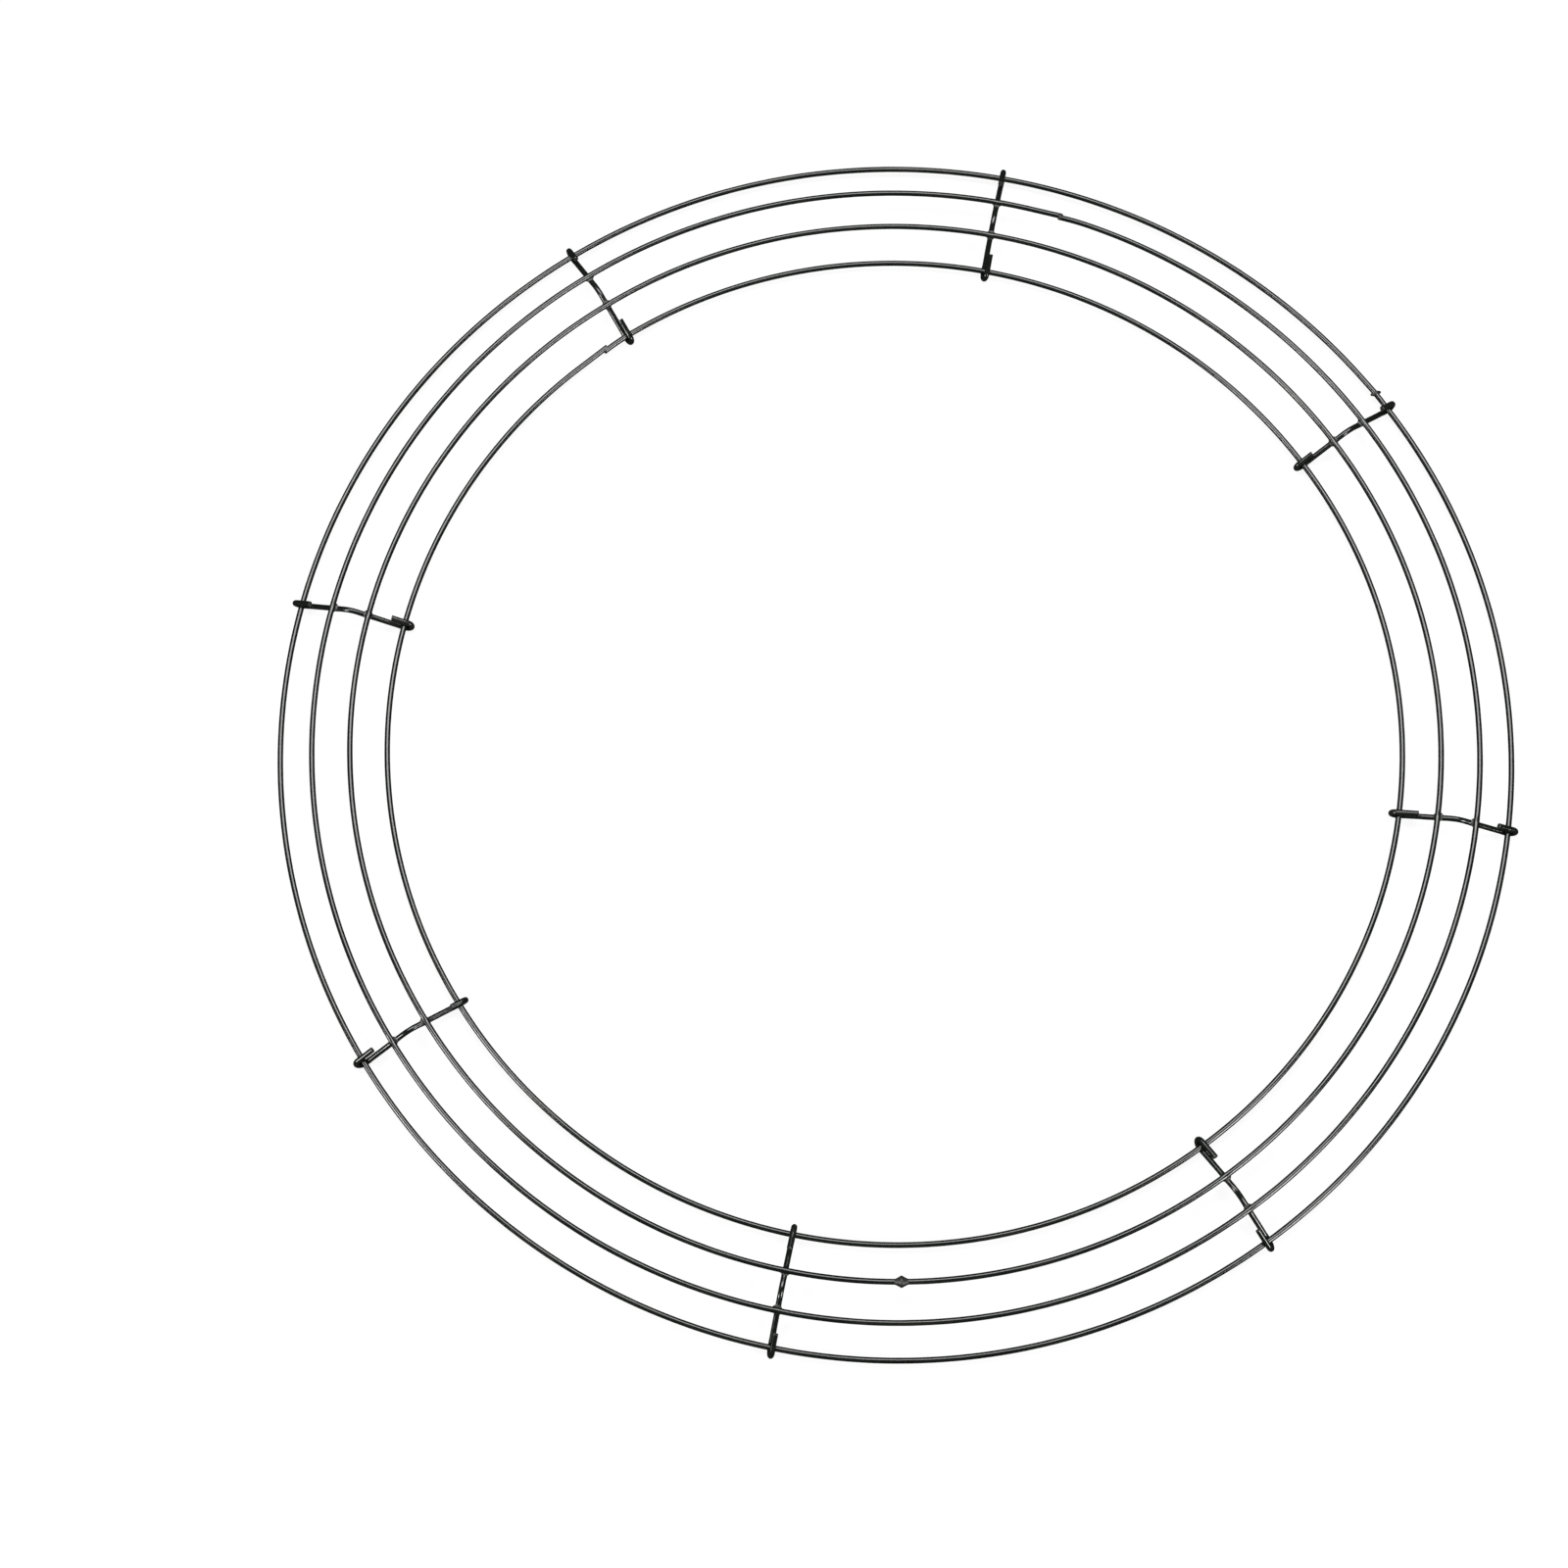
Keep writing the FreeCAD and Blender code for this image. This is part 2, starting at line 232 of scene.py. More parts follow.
def tube_mesh(name, centres, headings, first_side, second_side, radii, along, cut_ends=True):
    """A round wire: circle after circle carried along a path.

    Point (i, j) = centre i + radius ij * (cos v * first side i + sin v * second
    side i), with v = j / count of a full turn. Each end is closed by shrinking
    circles, which make the small rounded edge of a cut, and a middle point.
    """
    rows, columns = radii.shape
    caps = len(CUT_OUT)
    turn = steps_round(columns)
    across = np.cos(turn)[None, :, None] * first_side[:, None, :]
    circle = across + np.sin(turn)[None, :, None] * second_side[:, None, :]
    body = centres[:, None, :] + radii[:, :, None] * circle

    def cap(row, side):
        share = CUT_SHARE[:, None]
        out = CUT_OUT[:, None] + CUT_SLANT * np.cos(turn)[None, :] * share
        reach = (share * radii[row][None, :])[:, :, None] * circle[row][None]
        forward = side * headings[row]
        return centres[row] + reach + forward * out[:, :, None], centres[row] + forward * CUT_OUT[-1]

    start_circles, start_tip = cap(0, -1.0)
    end_circles, end_tip = cap(rows - 1, 1.0)
    shell = np.concatenate([start_circles[::-1], body, end_circles])
    points = np.concatenate([shell.reshape(-1, 3), start_tip[None], end_tip[None]])
    # Nothing dips below the table that the frame lies on
    points[:, 2] = np.maximum(points[:, 2], 0.0)

    # The UV map holds millimetres along the wire and round it
    total_rows = rows + 2 * caps
    long_along = np.concatenate([np.full(caps, along[0]), along, np.full(caps, along[-1])])
    face_width = FULL_TURN * WIRE_RADIUS / columns
    row, column = np.meshgrid(np.arange(total_rows - 1), np.arange(columns), indexing="ij")
    corner_rows = np.stack([row, row, row + 1, row + 1], axis=-1)
    corner_columns = np.stack([column, column + 1, column + 1, column], axis=-1)
    uv = np.stack([long_along[corner_rows], corner_columns * face_width], axis=-1).reshape(-1, 2)

    cut = np.zeros(len(points))
    if cut_ends:
        cut[: caps * columns] = np.repeat(CUT_BARE[::-1], columns)
        cut[(rows + caps) * columns : total_rows * columns] = np.repeat(CUT_BARE, columns)
        cut[-2:] = 1.0
    return mesh_piece(name, points, grid_faces(total_rows, columns), end_fans(total_rows, columns), uv, cut)


def lump_mesh(name, lumps):
    """Melted metal: closed blobs in one mesh.

    Each blob is centre + r(u, v) * direction(u, v), with the direction running
    over a sphere and r worked out by the blob's own swell function. Its three
    axes are its own frame, scaled by its three half sizes.
    """
    slope = np.linspace(0.0, math.pi, BLOB_ROWS)[1:-1]
    turn = steps_round(BLOB_FACES_ROUND)
    sine = np.sin(slope)[:, None]
    poleward = np.broadcast_to(np.cos(slope)[:, None], (len(slope), len(turn)))
    direction = np.stack([poleward, sine * np.cos(turn), sine * np.sin(turn)], axis=-1)
    sphere = np.concatenate([direction.reshape(-1, 3), [[1.0, 0.0, 0.0], [-1.0, 0.0, 0.0]]])
    # Turned over, so that the faces of the blobs point outward
    quads = grid_faces(len(slope), len(turn))[:, ::-1]
    fans = end_fans(len(slope), len(turn))[:, ::-1]
    points, all_quads, all_fans = [], [], []
    for number, (centre, axes, half_sizes, swell) in enumerate(lumps):
        shape = sphere * np.asarray(half_sizes) * swell(sphere)[:, None]
        points.append(centre + shape @ np.asarray(axes))
        all_quads.append(quads + number * len(sphere))
        all_fans.append(fans + number * len(sphere))
    return mesh_piece(name, np.concatenate(points), np.concatenate(all_quads), np.concatenate(all_fans))


# ---------------------------------------------------------------------------
# Rings
# ---------------------------------------------------------------------------
def ring_piece(name, lead, trail, overlap, seed):
    """One ring, bent from a single length of wire.

    The centre line is a circle, except near the closure: over the last stretch
    the wire leaves it by (stretch - s) ** 2 / (2 * radius) times an amount,
    where s is the distance from the closure. An amount of 1 is a straight end
    that stands outside the circle and -1 a tight one that ends inside. lead and
    trail are each end's (stretch as an angle, amount), and overlap is how far
    each end runs on past the closure.
    """
    radius = RING_RADIUS[name]
    length = FULL_TURN * radius
    along = np.linspace(-overlap, length + overlap, int(length / RING_STEP))
    angle = CLOSURE_ANGLE[name] + along / radius
    off = np.zeros(len(along))
    for (stretch, amount), from_closure in ((lead, along), (trail, length - along)):
        off = off + amount * np.clip(stretch * radius - from_closure, 0.0, None) ** 2 / (2.0 * radius)
    out = np.stack([np.cos(angle), np.sin(angle), np.zeros(len(angle))], axis=1)
    centres = out * (radius + off)[:, None]
    centres[:, 2] = RING_HEIGHT[name]
    headings = np.gradient(centres, axis=0)
    headings /= np.linalg.norm(headings, axis=1, keepdims=True)
    side = np.cross(headings, UP)

    turn = steps_round(RING_FACES_ROUND)
    radii = coated_radii(along, turn, RING_FILM, (seed, seed + 50))
    below = np.clip(-np.sin(turn), 0.0, 1.0)[None, :]
    above = np.clip(np.sin(turn), 0.0, 1.0)[None, :]
    flank = np.abs(np.cos(turn))[None, :]
    pool_depth, pool_half_width = POOL
    for bar_angle in BAR_ANGLE:
        away = ((angle - bar_angle + math.pi) % FULL_TURN - math.pi) * radius
        radii = radii + np.exp(-((away / pool_half_width) ** 2))[:, None] * pool_depth * below
        if name in ("second", "third"):
            near = np.exp(-((away / DENT_HALF_WIDTH) ** 2))[:, None]
            radii = radii - near * DENT_DEPTH * above**3 + near * DENT_SPREAD * flank**2
    upward = np.broadcast_to(UP, side.shape)
    cut_ends = name == "inner"
    return tube_mesh(name + "_ring_wire", centres, headings, side, upward, radii, along, cut_ends)


# ---------------------------------------------------------------------------
# Crossbars
# ---------------------------------------------------------------------------
def turned(vectors, axis, angle):
    """Rodrigues' rotation of vectors about a unit axis, for an array of angles."""
    cosine, sine = np.cos(angle)[:, None], np.sin(angle)[:, None]
    return vectors * cosine + np.cross(axis, vectors) * sine + axis * (vectors @ axis) * (1.0 - cosine)


class WirePath:
    """A path of straight runs and round bends, with a frame that never twists."""

    def __init__(self, start, heading, side):
        self.point, self.heading, self.side = start, heading, side
        self.runs = []

    def keep(self, points, headings, sides, bend):
        """Adds a run, and goes on from its last point."""
        self.runs.append((points, headings, sides, np.full(len(points), bend)))
        self.point, self.heading, self.side = points[-1], headings[-1], sides[-1]

    def straight(self, length):
        """Straight run: start + heading * s."""
        distance = np.linspace(0.0, length, max(2, int(length / LEG_STEP)))[:, None]
        points = self.point + self.heading * distance
        headings = np.repeat(self.heading[None], len(points), 0)
        self.keep(points, headings, np.repeat(self.side[None], len(points), 0), 0.0)

    def bend(self, toward, radius, angle, step, share):
        """Round bend: the start point turned about the bend's centre."""
        centre = self.point + toward * radius
        axis = np.cross(self.heading, toward)
        angles = np.linspace(0.0, angle, max(4, int(radius * angle / step)))
        points = centre + turned(self.point - centre, axis, angles)
        self.keep(points, turned(self.heading, axis, angles), turned(self.side, axis, angles), share)

    def arrays(self):
        """The whole path, with the doubled point at each join left out."""
        kept = [self.runs[0]] + [[part[1:] for part in run] for run in self.runs[1:]]
        return [np.concatenate(parts) for parts in zip(*kept)]


def hook_shape(normal, sideways, offset):
    """The way across one hook, its bend radius and its straight run past the ring."""
    lean = math.atan2(offset, 2.0 * CRIMP_HEIGHT)
    radius = CRIMP_HEIGHT / math.cos(lean)
    across = normal * math.cos(lean) + sideways * math.sin(lean)
    return across, radius, HOOK_REACH - WIRE_RADIUS - radius


def crossbar_piece(bar):
    """Crossbar: return leg, hook, leg, ridge, leg, hook, return leg.

    The radius is the coated wire's, less a share of cos v squared and plus a
    share of sin v squared at the bends, plus a bell-shaped rise beside a ring.
    """
    angle = BAR_ANGLE[bar]
    outward, sideways = radial(angle), around(angle)
    outer_leg = outward * math.cos(BAR_PITCH) - UP * math.sin(BAR_PITCH)
    outer_normal = outward * math.sin(BAR_PITCH) + UP * math.cos(BAR_PITCH)
    inner_normal = -outward * math.sin(BAR_PITCH) + UP * math.cos(BAR_PITCH)
    ridge = outward * RIDGE_RADIUS + UP * RIDGE_HEIGHT
    outer_across, outer_radius, outer_past = hook_shape(outer_normal, sideways, OUTER_HOOK_OFFSET[bar])
    inner_across, inner_radius, inner_past = hook_shape(inner_normal, sideways, INNER_HOOK_OFFSET[bar])
    outer_return = outer_past + HOOK_RETURN + OUTER_RETURN_EXTRA[bar]
    inner_return = inner_past + HOOK_RETURN + INNER_RETURN_EXTRA[bar]
    leg = LEG_TO_RING - RIDGE_BEND_RADIUS * math.tan(BAR_PITCH)
    outer_end = ridge + outer_leg * (LEG_TO_RING + outer_past)
    start = outer_end + outer_across * 2.0 * outer_radius - outer_leg * outer_return

    path = WirePath(start, outer_leg, outer_across)
    path.straight(outer_return)
    path.bend(-outer_across, outer_radius, math.pi, HOOK_STEP, HOOK_SHARE)
    path.straight(leg + outer_past)
    path.bend(-outer_normal, RIDGE_BEND_RADIUS, 2.0 * BAR_PITCH, LEG_STEP, RIDGE_SHARE)
    path.straight(leg + inner_past)
    path.bend(inner_across, inner_radius, math.pi, HOOK_STEP, HOOK_SHARE)
    path.straight(inner_return)
    centres, headings, first, bends = path.arrays()
    second = np.cross(headings, first)
    along = np.concatenate([[0.0], np.cumsum(np.linalg.norm(np.diff(centres, axis=0), axis=1))])

    turn = steps_round(BAR_FACES_ROUND)
    radii = coated_radii(along, turn, BAR_FILM, (400 + bar, 430 + bar))
    # The bends' shares are smoothed over 17 steps, so that each comes on gently
    kernel = np.exp(-(np.linspace(-2.0, 2.0, 17) ** 2))
    soft = np.convolve(bends, kernel / kernel.sum(), mode="same")[:, None]
    radii = radii - soft * BEND_THINNING * np.cos(turn) ** 2 + soft * BEND_WIDENING * np.sin(turn) ** 2
    depth, distance, half_width = GATHER
    for name, radius in RING_RADIUS.items():
        gap = np.linalg.norm(centres - outward * radius - UP * RING_HEIGHT[name], axis=1)
        radii = radii + depth * np.exp(-(((gap - distance) / half_width) ** 2))[:, None]
    return tube_mesh("crossbar_%d_wire" % (bar + 1), centres, headings, first, second, radii, along)


# ---------------------------------------------------------------------------
# Welds: half sizes in millimetres, along, outward and up unless said
# ---------------------------------------------------------------------------
def lumpy(seed, depth):
    """Swell of a blob: 1 plus nine broad lumps in seeded directions, each a bell
    of the angle from its own direction."""
    rng = np.random.default_rng(seed)
    ways = rng.normal(size=(9, 3))
    ways /= np.linalg.norm(ways, axis=1, keepdims=True)
    heights = rng.uniform(-1.0, 1.0, len(ways)) * depth
    sharpness = 6.0

    def swell(sphere):
        return 1.0 + (np.exp(sharpness * (sphere @ ways.T - 1.0)) * heights).sum(axis=1)

    return swell


def spot_weld_piece(name, seed):
    """The beads squeezed out between one middle ring and the eight crossbars."""
    half_sizes = (0.62, 2.0, 2.0)
    radius = RING_RADIUS[name]
    side = 1.0 if radius > RIDGE_RADIUS else -1.0
    lumps = []
    for bar, angle in enumerate(BAR_ANGLE):
        normal = radial(angle) * side * math.sin(BAR_PITCH) + UP * math.cos(BAR_PITCH)
        centre = radial(angle) * radius + UP * RING_HEIGHT[name] - normal * WELD_HEIGHT / 2.0
        axes = (normal, around(angle), np.cross(around(angle), normal))
        lumps.append((centre, axes, half_sizes, lumpy(seed + bar, 0.12)))
    return lump_mesh(name + "_ring_spot_weld_beads", lumps)


def closure_frame(name):
    """Centre of a ring's closure, with its along and outward axes."""
    angle = CLOSURE_ANGLE[name]
    centre = radial(angle) * RING_RADIUS[name] + UP * RING_HEIGHT[name]
    return centre, around(angle), radial(angle)


def outer_closure_piece():
    """Butt weld with two ears of flash.

    A lumpy core whose radius also rises by exp(-(1 - |d|) / width) of the
    ears' height toward both ends d of the ears' own axis.
    """
    centre, along, out = closure_frame("outer")
    tilt = math.radians(18.0)
    core_shift = 0.15
    ear_height, ear_width = 0.78, 0.10
    half_sizes = (1.28, 1.30, 1.32)
    ear = out * math.cos(tilt) - along * math.sin(tilt)
    rough = lumpy(71, 0.08)

    def swell(sphere):
        return rough(sphere) * (1.0 + ear_height * np.exp((np.abs(sphere[:, 1]) - 1.0) / ear_width))

    core = (centre + out * core_shift, (np.cross(UP, ear), ear, UP), half_sizes, swell)
    return lump_mesh("outer_ring_closure_weld_flash", [core])


def second_closure_piece():
    """Butt weld in a small round bead around the stepped ends."""
    centre, along, out = closure_frame("second")
    lean = math.radians(14.0)
    axis = along * math.cos(lean) + out * math.sin(lean)
    bead = (centre, (axis, np.cross(UP, axis), UP), (1.15, 1.6, 1.5), lumpy(72, 0.10))
    return lump_mesh("second_ring_closure_weld_bead", [bead])


def third_closure_piece():
    """Upset weld: r = thick * (1 - |u|) + thin * |u| along the wire, blunt at the
    middle ridge, with a seeded ripple that fades toward both ends."""
    centre, along, out = closure_frame("third")
    half_length, thick, thin = 3.2, 2.4, 0.8
    blunt = 0.06
    ripple_height, ripple_run, ripple_length = 0.05, 3.0, 4.0
    u = np.linspace(-1.0, 1.0, 61)
    turn = steps_round(BLOB_FACES_ROUND)
    slope = np.maximum(np.abs(u), blunt)
    profile = thin * slope + thick * (1.0 - slope)
    uneven = ripple_height * ripple(u[:, None] * ripple_run, turn[None, :], 73, ripple_length)
    radii = profile[:, None] * (1.0 + uneven * (1.0 - np.abs(u))[:, None])
    centres = centre + along * (u * half_length)[:, None]
    headings, first, second = (np.repeat(way[None], len(u), 0) for way in (along, -out, UP))
    return tube_mesh(
        "third_ring_closure_weld_upset",
        centres,
        headings,
        first,
        second,
        np.minimum(radii, thick),
        u * half_length,
        cut_ends=False,
    )


def inner_closure_piece():
    """Lap weld: melted metal in the groove between the two lapped wire ends."""
    centre, along, out = closure_frame("inner")
    lean = math.radians(3.8)
    axis = along * math.cos(lean) - out * math.sin(lean)
    bead = (centre, (axis, np.cross(UP, axis), UP), (1.55, 1.25, 1.16), lumpy(74, 0.08))
    return lump_mesh("inner_ring_closure_weld_bead", [bead])


# ---------------------------------------------------------------------------
# Materials
# ---------------------------------------------------------------------------
def linear(hex_colour):
    """sRGB hex to a linear RGBA colour."""
    parts = [int(hex_colour[i : i + 2], 16) / 255.0 for i in (1, 3, 5)]
    return tuple(c / 12.92 if c <= 0.04045 else ((c + 0.055) / 1.055) ** 2.4 for c in parts) + (1.0,)


def per_metre(size):
    """Noise scale for marks of a size in millimetres: coordinates are in metres."""
    return 1.0 / (size * MM)


def node(tree, kind, settings=None, links=None, stops=(), **inputs):
    """Adds one node: its settings, input values, links and colour stops.

    A space in an input's name is written _, and a stop is (place, sRGB hex).
    """
    made = tree.nodes.new(kind)
    for key, value in (settings or {}).items():
        setattr(made, key, value)
    for key, value in inputs.items():
        made.inputs[key.replace("_", " ")].default_value = value
    for key, source in (links or {}).items():
        tree.links.new(source, made.inputs[key])
    if stops:
        points = made.color_ramp.elements
        while len(points) < len(stops):
            points.new(0.5)
        for point, (place, colour) in zip(points, stops):
            point.position = place
            point.color = linear(colour)
    return made


def new_material(name):
    """An empty node material."""
    material = bpy.data.materials.new(name)
    material.use_nodes = True
    material.node_tree.nodes.clear()
    return material, material.node_tree


# Refractive index of stoving enamel, a hard baked resin
ENAMEL_IOR = 1.5


def enamelled_wire(name, seed):
    """Drawn mild steel wire dipped in dark green-black stoving enamel.

    It gives a near-black satin gloss with a trace of green, a soft orange peel
    about a millimetre across, faint drawing lines along the wire, thin brownish
    film here and there, and bare steel at the cut ends' edges. The orange peel
    and the drawing lines are drawn coarser than they are, so that they show.
    """
    material, tree = new_material(name)
    place = node(tree, "ShaderNodeTexCoord")
    shift = (seed * 0.37, seed * 0.11, seed * 0.23)
    shifted = node(tree, "ShaderNodeMapping", links={"Vector": place.outputs["Object"]}, Location=shift)
    position = {"Vector": shifted.outputs["Vector"]}
    broad = node(
        tree, "ShaderNodeTexNoise", links=position, Scale=per_metre(26.3), Detail=3.0, Roughness=0.55
    )
    fine = node(
        tree, "ShaderNodeTexNoise", links=position, Scale=per_metre(1.111), Detail=2.0, Roughness=0.5
    )
    specks = node(
        tree, "ShaderNodeTexNoise", links=position, Scale=per_metre(0.385), Detail=1.0, Roughness=0.5
    )
    # Drawing lines: 17 mm long and 0.19 mm apart
    line_scale = (per_metre(16.67), per_metre(0.1923), 1.0)
    lengthwise = node(tree, "ShaderNodeMapping", links={"Vector": place.outputs["UV"]}, Scale=line_scale)
    drawing = node(
        tree,
        "ShaderNodeTexNoise",
        links={"Vector": lengthwise.outputs["Vector"]},
        Scale=1.0,
        Detail=2.0,
        Roughness=0.6,
    )
    film = node(
        tree,
        "ShaderNodeValToRGB",
        links={"Fac": broad.outputs["Fac"]},
        stops=((0.30, "#080a08"), (0.52, "#0e120f"), (0.72, "#1a1b17")),
    )
    cut = node(tree, "ShaderNodeAttribute", {"attribute_name": "cut_face"})
    worn = node(
        tree,
        "ShaderNodeMapRange",
        links={"Value": specks.outputs["Fac"]},
        From_Min=0.46,
        From_Max=0.56,
        To_Min=0.0,
        To_Max=1.0,
    )
    bare = node(
        tree,
        "ShaderNodeMath",
        {"operation": "MULTIPLY"},
        {0: cut.outputs["Fac"], 1: worn.outputs["Result"]},
    )
    colour = node(
        tree,
        "ShaderNodeMix",
        {"data_type": "RGBA"},
        {"Factor": bare.outputs[0], "A": film.outputs["Color"]},
        B=linear("#8b8a86"),
    )
    rough = node(
        tree,
        "ShaderNodeMapRange",
        links={"Value": fine.outputs["Fac"]},
        From_Min=0.3,
        From_Max=0.7,
        To_Min=0.14,
        To_Max=0.22,
    )
    peel = node(
        tree, "ShaderNodeBump", links={"Height": fine.outputs["Fac"]}, Strength=0.05, Distance=0.04 * MM
    )
    lines = node(
        tree,
        "ShaderNodeBump",
        links={"Height": drawing.outputs["Fac"], "Normal": peel.outputs["Normal"]},
        Strength=0.05,
        Distance=0.03 * MM,
    )
    surface = node(
        tree,
        "ShaderNodeBsdfPrincipled",
        links={
            "Base Color": colour.outputs["Result"],
            "Roughness": rough.outputs["Result"],
            "Metallic": bare.outputs[0],
            "Normal": lines.outputs["Normal"],
        },
        IOR=ENAMEL_IOR,
    )
    node(tree, "ShaderNodeOutputMaterial", links={"Surface": surface.outputs["BSDF"]})
    return material


def enamelled_weld(name):
    """Resistance weld metal under the same dipped enamel.

    It gives a lumpy, slightly rougher black with grey-brown scale about a
    millimetre across showing through where the film is thin.
    """
    material, tree = new_material(name)
    place = node(tree, "ShaderNodeTexCoord")
    position = {"Vector": place.outputs["Object"]}
    scale = node(
        tree, "ShaderNodeTexNoise", links=position, Scale=per_metre(0.909), Detail=3.0, Roughness=0.6
    )
    grit = node(
        tree, "ShaderNodeTexNoise", links=position, Scale=per_metre(0.238), Detail=2.0, Roughness=0.6
    )
    colour = node(
        tree,
        "ShaderNodeValToRGB",
        links={"Fac": scale.outputs["Fac"]},
        stops=((0.30, "#0e100e"), (0.55, "#1b1d1a"), (0.75, "#3a352e")),
    )
    rough = node(
        tree,
        "ShaderNodeMapRange",
        links={"Value": scale.outputs["Fac"]},
        From_Min=0.3,
        From_Max=0.7,
        To_Min=0.36,
        To_Max=0.58,
    )
    pits = node(
        tree, "ShaderNodeBump", links={"Height": scale.outputs["Fac"]}, Strength=0.35, Distance=0.15 * MM
    )
    sand = node(
        tree,
        "ShaderNodeBump",
        links={"Height": grit.outputs["Fac"], "Normal": pits.outputs["Normal"]},
        Strength=0.15,
        Distance=0.04 * MM,
    )
    surface = node(
        tree,
        "ShaderNodeBsdfPrincipled",
        links={
            "Base Color": colour.outputs["Color"],
            "Roughness": rough.outputs["Result"],
            "Normal": sand.outputs["Normal"],
        },
        IOR=ENAMEL_IOR,
    )
    node(tree, "ShaderNodeOutputMaterial", links={"Surface": surface.outputs["BSDF"]})
    return material


def light_table(name):
    """Opal light table under the frame, with the faintest cloudiness.

    Its own glow keeps it evenly white and nearly without shadows. In the
    wires' gloss it is swapped for a dark grey copy of itself, a painted
    dark reflection that paints shade on the sides of each wire.
    """
    material, tree = new_material(name)
    place = node(tree, "ShaderNodeTexCoord")
    cloud = node(
        tree,
        "ShaderNodeTexNoise",
        links={"Vector": place.outputs["Object"]},
        Scale=per_metre(166.7),
        Detail=3.0,
        Roughness=0.5,
    )
    colour = node(
        tree,
        "ShaderNodeValToRGB",
        links={"Fac": cloud.outputs["Fac"]},
        stops=((0.3, "#424242"), (0.7, "#484848")),
    )
    lit = node(
        tree,
        "ShaderNodeBsdfPrincipled",
        links={"Base Color": colour.outputs["Color"]},
        Roughness=0.9,
        IOR=1.45,
        Emission_Color=linear("#ffffff"),
        Emission_Strength=0.91,
    )
    # Painted dark reflection: glossy rays see this dark grey floor instead of the glowing white one, which
    # paints shade on the wires' sides
    painted_dark_reflection = node(tree, "ShaderNodeBsdfDiffuse", Color=linear("#303030"))
    ray = node(tree, "ShaderNodeLightPath")
    surface = node(
        tree,
        "ShaderNodeMixShader",
        links={0: ray.outputs["Is Glossy Ray"], 1: lit.outputs["BSDF"], 2: painted_dark_reflection.outputs["BSDF"]},
    )
    node(tree, "ShaderNodeOutputMaterial", links={"Surface": surface.outputs["Shader"]})
    return material


# ---------------------------------------------------------------------------
# The frame's pieces
# ---------------------------------------------------------------------------
ring_enamel = enamelled_wire("dark_green_enamel_on_ring_wire", 1.0)
bar_enamel = enamelled_wire("dark_green_enamel_on_crossbar_wire", 2.0)
weld_enamel = enamelled_weld("dark_green_enamel_on_weld_metal")

# How each ring's two ends meet: (stretch as an angle, amount) for lead and trail
OUTER_LEAN = math.radians(2.0)
SECOND_LEAN = math.sqrt(0.7 / RING_RADIUS["second"])
INNER_LEAN = math.sqrt(0.9 / RING_RADIUS["inner"])
ROUND_END = (0.0, 0.0)


def place_piece(piece, cad_node, material):
    """Gives a piece its material and ties it to the frame."""
    piece.data.materials.append(material)
    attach(piece, "root")
    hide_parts(cad_node)


outer_ring = ring_piece("outer", (OUTER_LEAN, 1.0), (OUTER_LEAN, 1.0), 0.0, 11)
second_ring = ring_piece("second", (SECOND_LEAN, 1.0), (SECOND_LEAN, -1.0), 0.3, 12)
third_ring = ring_piece("third", ROUND_END, ROUND_END, -0.3, 13)
inner_ring = ring_piece("inner", (INNER_LEAN, 1.0), (INNER_LEAN, -1.0), 1.1, 14)
place_piece(outer_ring, "outer_ring", ring_enamel)
place_piece(second_ring, "second_ring", ring_enamel)
place_piece(third_ring, "third_ring", ring_enamel)
place_piece(inner_ring, "inner_ring", ring_enamel)
for bar_number in range(BAR_COUNT):
    place_piece(crossbar_piece(bar_number), "crossbar_%d" % (bar_number + 1), bar_enamel)
place_piece(outer_closure_piece(), "outer_ring_closure_weld", weld_enamel)
place_piece(second_closure_piece(), "second_ring_closure_weld", weld_enamel)
place_piece(third_closure_piece(), "third_ring_closure_weld", weld_enamel)
place_piece(inner_closure_piece(), "inner_ring_closure_weld", weld_enamel)
place_piece(spot_weld_piece("second", 200), "second_ring_spot_welds", weld_enamel)
place_piece(spot_weld_piece("third", 300), "third_ring_spot_welds", weld_enamel)


# ---------------------------------------------------------------------------
# Table, lights and camera
# ---------------------------------------------------------------------------
def table_top():
    """A flat white table, level with the underside of the frame."""
    half = 3.0
    corners = [(-half, -half, 0.0), (half, -half, 0.0), (half, half, 0.0), (-half, half, 0.0)]
    mesh = bpy.data.meshes.new("light_table")
    mesh.from_pydata(corners, [], [(0, 1, 2, 3)])
    piece = bpy.data.objects.new("light_table", mesh)
    bpy.context.scene.collection.objects.link(piece)
    piece.data.materials.append(light_table("opal_light_table"))


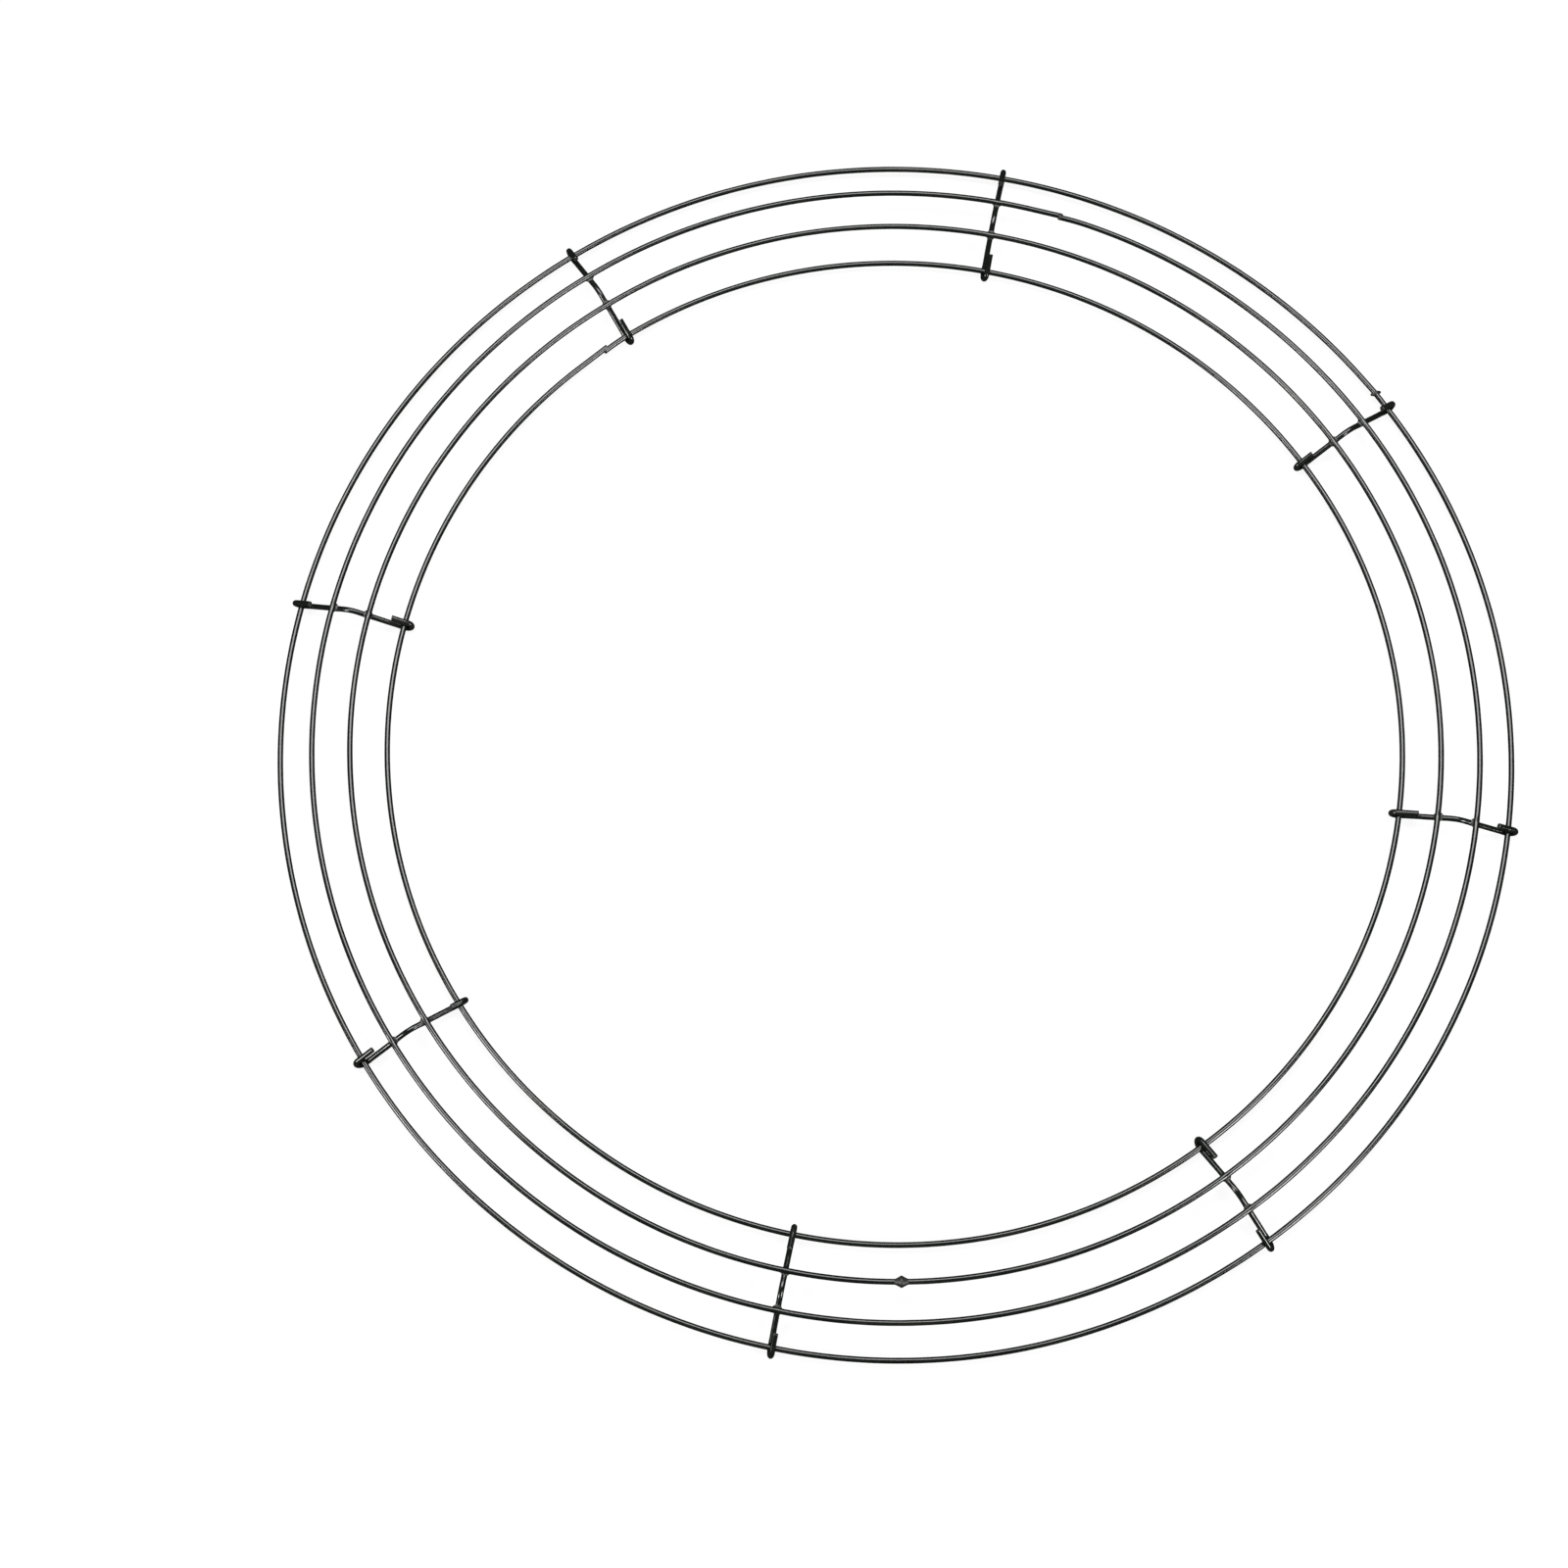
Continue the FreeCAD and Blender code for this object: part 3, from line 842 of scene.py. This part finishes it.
def softbox(name, place, width, depth, power):
    """A rectangular soft light at place, facing the frame, in metres and watts."""
    lamp = bpy.data.lights.new(name, "AREA")
    lamp.shape = "RECTANGLE"
    lamp.size, lamp.size_y, lamp.energy = width, depth, power
    light = bpy.data.objects.new(name, lamp)
    bpy.context.scene.collection.objects.link(light)
    light.location = place
    light.rotation_euler = (-Vector(place)).to_track_quat("-Z", "Y").to_euler()


table_top()
# Two narrow side lights, each a light line along the wires, and a broad one above
softbox("left_softbox", (-0.97, -0.31, 0.64), 0.26, 0.40, 9.5)
softbox("front_right_softbox", (0.64, -0.79, 0.64), 0.26, 0.40, 9.5)
softbox("back_softbox", (0.08, 0.46, 1.08), 1.30, 0.56, 23.0)

world = bpy.data.worlds.new("studio")
world.use_nodes = True
background = world.node_tree.nodes["Background"]
background.inputs["Color"].default_value = (1.0, 1.0, 1.0, 1.0)
background.inputs["Strength"].default_value = 0.06
bpy.context.scene.world = world

# The camera looks down from in front, 76 degrees above the table, a metre away
CAMERA_LENS = 58.5
CAMERA_SENSOR = 36.0
CAMERA_NEAREST = 0.01
CAMERA_TARGET = Vector((-0.0475, -0.0121, 0.0))
CAMERA_DISTANCE = 1.0368
CAMERA_ELEVATION = math.radians(76.28)
CAMERA_AZIMUTH = math.radians(-96.26)
CAMERA_ROLL = math.radians(-4.97)
camera_data = bpy.data.cameras.new("camera")
camera_data.lens = CAMERA_LENS
camera_data.sensor_width = CAMERA_SENSOR
camera_data.clip_start = CAMERA_NEAREST
camera = bpy.data.objects.new("camera", camera_data)
bpy.context.scene.collection.objects.link(camera)
toward_camera = Vector((
    math.cos(CAMERA_ELEVATION) * math.cos(CAMERA_AZIMUTH),
    math.cos(CAMERA_ELEVATION) * math.sin(CAMERA_AZIMUTH),
    math.sin(CAMERA_ELEVATION),
))
level = Vector((0.0, 0.0, 1.0)).cross(toward_camera).normalized()
upright = toward_camera.cross(level)
camera_up = upright * math.cos(CAMERA_ROLL) - level * math.sin(CAMERA_ROLL)
camera_right = camera_up.cross(toward_camera)
turn_matrix = Matrix((camera_right, camera_up, toward_camera)).transposed()
camera_place = CAMERA_TARGET + toward_camera * CAMERA_DISTANCE
camera.matrix_world = Matrix.Translation(camera_place) @ turn_matrix.to_4x4()
bpy.context.scene.camera = camera
bpy.context.scene.view_settings.view_transform = "Standard"
